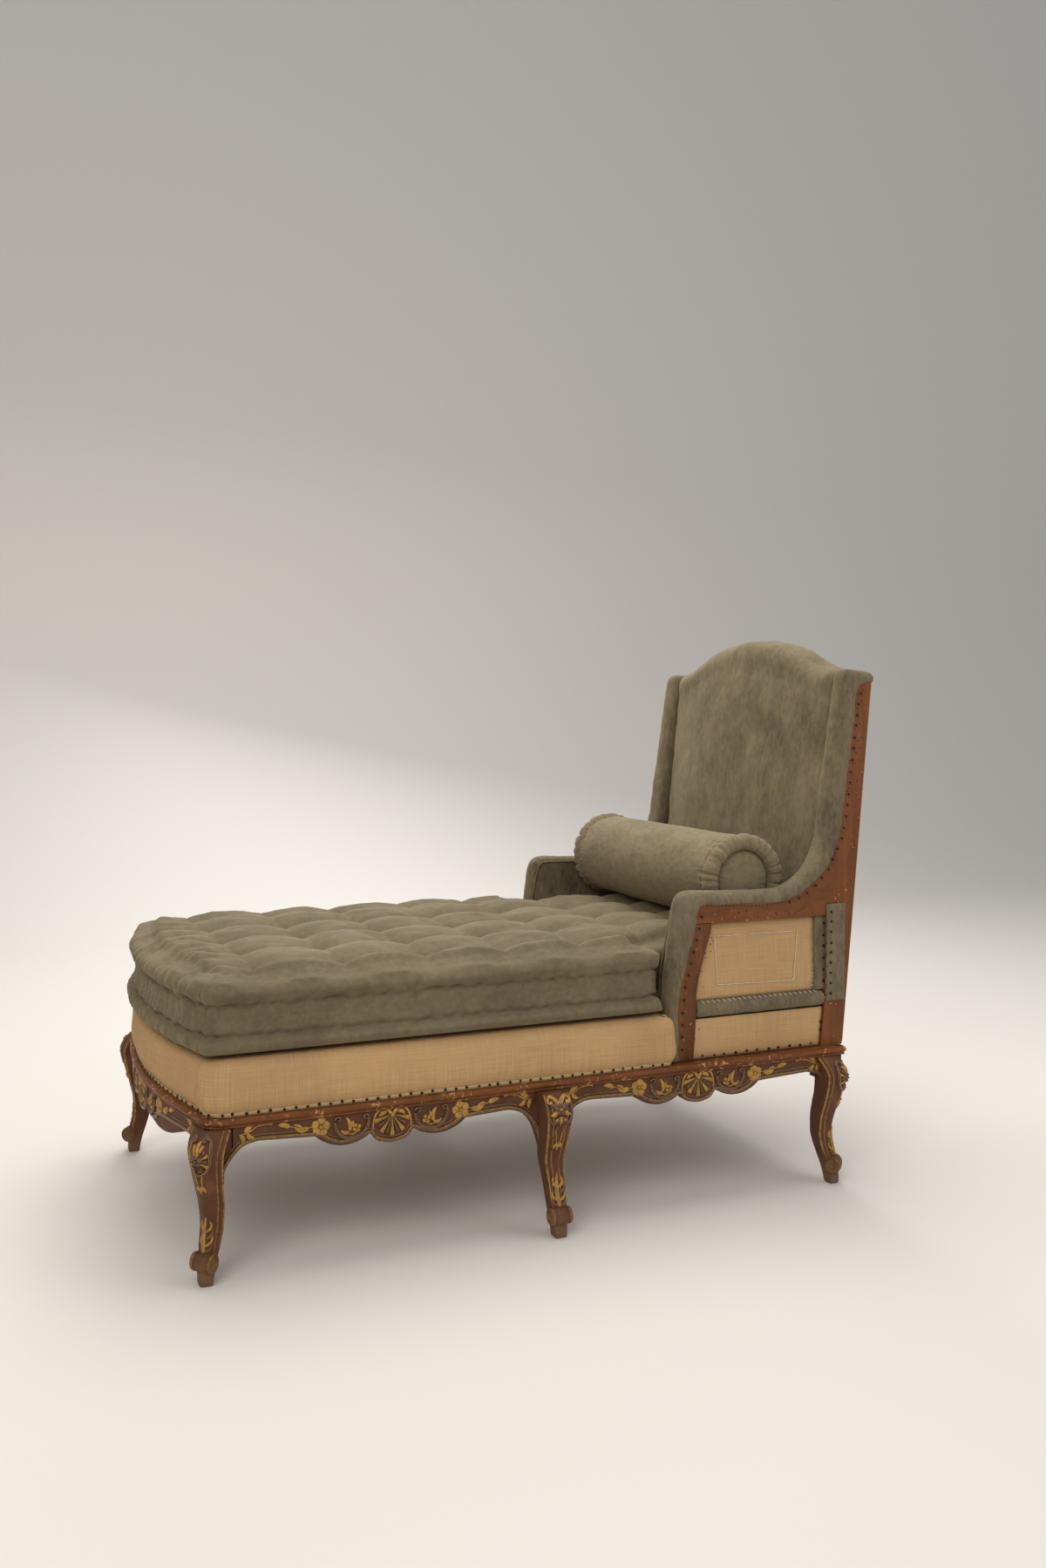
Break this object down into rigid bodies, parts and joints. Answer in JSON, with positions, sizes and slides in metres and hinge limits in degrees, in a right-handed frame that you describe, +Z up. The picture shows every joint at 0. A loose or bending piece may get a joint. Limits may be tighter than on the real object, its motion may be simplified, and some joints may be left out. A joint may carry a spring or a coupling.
{
  "type": "chaise longue",
  "caption": "Chaise longue with carved cabriole base, high arched back with arms, canvas-covered sprung deck, loose tufted mattress and loose bolster.",
  "frame": {"origin": "on the floor under the middle of the whole piece", "axes": "+X along the seat towards the back, +Y across the seat, +Z up"},
  "size_m": [1.4148, 0.79, 1.0746],
  "materials": {
    "carved_wood": "dark painted ground with gilt yellow carving, worn",
    "moulding_wood": "worn red-brown stain",
    "bare_wood": "bare red-brown wood with tack holes",
    "inner_wood": "plain sawn wood",
    "webbing": "woven jute webbing",
    "spring_wire": "dull steel wire",
    "canvas": "plain woven burlap",
    "lining": "coarse hessian and hair",
    "frame_velvet": "grey-green velvet",
    "mattress_velvet": "grey-green velvet, tufted",
    "bolster_velvet": "grey-green velvet"
  },
  "bodies": {
    "root": {"arm_liner_rail_far": "inner_wood", "arm_liner_rail_near": "inner_wood", "arm_rail_far": "bare_wood", "arm_rail_near": "bare_wood", "arm_roll_far": "frame_velvet", "arm_roll_near": "frame_velvet", "arm_stump_far": "bare_wood", "arm_stump_near": "bare_wood", "back_hessian": "lining", "back_webbing_level": "webbing", "back_webbing_upright": "webbing", "corner_blocks": "inner_wood", "crest_padding": "frame_velvet", "crest_rail": "inner_wood", "cross_rail": "inner_wood", "deck_cover": "canvas", "deck_stuffing": "lining", "foot_rail": "carved_wood", "head_rail": "carved_wood", "inside_arm_pad_far": "frame_velvet", "inside_arm_pad_near": "frame_velvet", "inside_back_pad": "frame_velvet", "leg_far_foot": "carved_wood", "leg_far_head": "carved_wood", "leg_far_middle": "carved_wood", "leg_near_foot": "carved_wood", "leg_near_head": "carved_wood", "leg_near_middle": "carved_wood", "liner_velvet_roll_far": "frame_velvet", "liner_velvet_roll_near": "frame_velvet", "lower_back_rail": "inner_wood", "outside_arm_canvas_far": "canvas", "outside_arm_canvas_near": "canvas", "outside_back_canvas": "canvas", "rail_moulding_far": "moulding_wood", "rail_moulding_foot": "moulding_wood", "rail_moulding_head": "moulding_wood", "rail_moulding_near": "moulding_wood", "rear_post_far": "bare_wood", "rear_post_near": "bare_wood", "seat_springs": "spring_wire", "seat_webbing_cross": "webbing", "seat_webbing_long": "webbing", "side_canvas_far": "canvas", "side_canvas_near": "canvas", "side_rail_far_foot": "carved_wood", "side_rail_far_head": "carved_wood", "side_rail_near_foot": "carved_wood", "side_rail_near_head": "carved_wood", "spring_hessian": "lining", "stump_facing_far": "frame_velvet", "stump_facing_near": "frame_velvet", "velvet_pulls_far": "frame_velvet", "velvet_pulls_near": "frame_velvet", "wing_roll_far": "frame_velvet", "wing_roll_near": "frame_velvet"},
    "mattress": {"mattress": "mattress_velvet"},
    "bolster": {"bolster": "bolster_velvet"}
  },
  "joints": [
    {"name": "mattress_lift", "type": "slide", "parent": "root", "child": "mattress", "axis": [0, 0, 1], "range_m": [0, 0.3]},
    {"name": "bolster_lift", "type": "slide", "parent": "mattress", "child": "bolster", "axis": [0, 0, 1], "range_m": [0, 0.3]}
  ]
}
